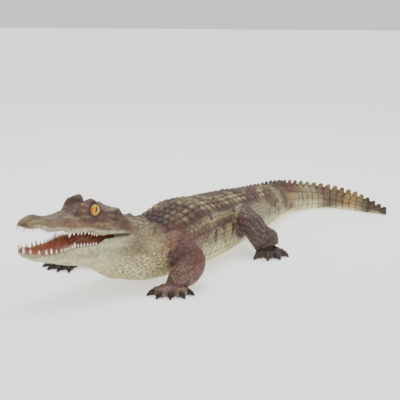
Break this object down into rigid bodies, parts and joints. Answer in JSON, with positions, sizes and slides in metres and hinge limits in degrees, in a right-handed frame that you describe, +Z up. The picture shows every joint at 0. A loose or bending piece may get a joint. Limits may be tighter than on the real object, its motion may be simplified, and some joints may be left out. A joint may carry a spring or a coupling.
{
  "type": "crocodile sculpture",
  "caption": "Life-size garden figure of a young crocodile, cast in one piece, lying on its belly with its jaws open and its tail curled to one side.",
  "frame": {"origin": "on the ground, on the flat of the belly under the middle of the trunk", "axes": "+Z up; the trunk lies along X with the head towards -X; the animal's left side faces -Y, and its tail curls towards -Y"},
  "size_m": [1.2508, 0.5994, 0.2254],
  "materials": {
    "painted_resin": "matte hand-painted resin, khaki, brown and cream",
    "eye_resin": "high gloss, amber with a dark slit pupil"
  },
  "bodies": {
    "root": {"crocodile": "painted_resin", "left_eye": "eye_resin", "right_eye": "eye_resin"}
  },
  "joints": []
}
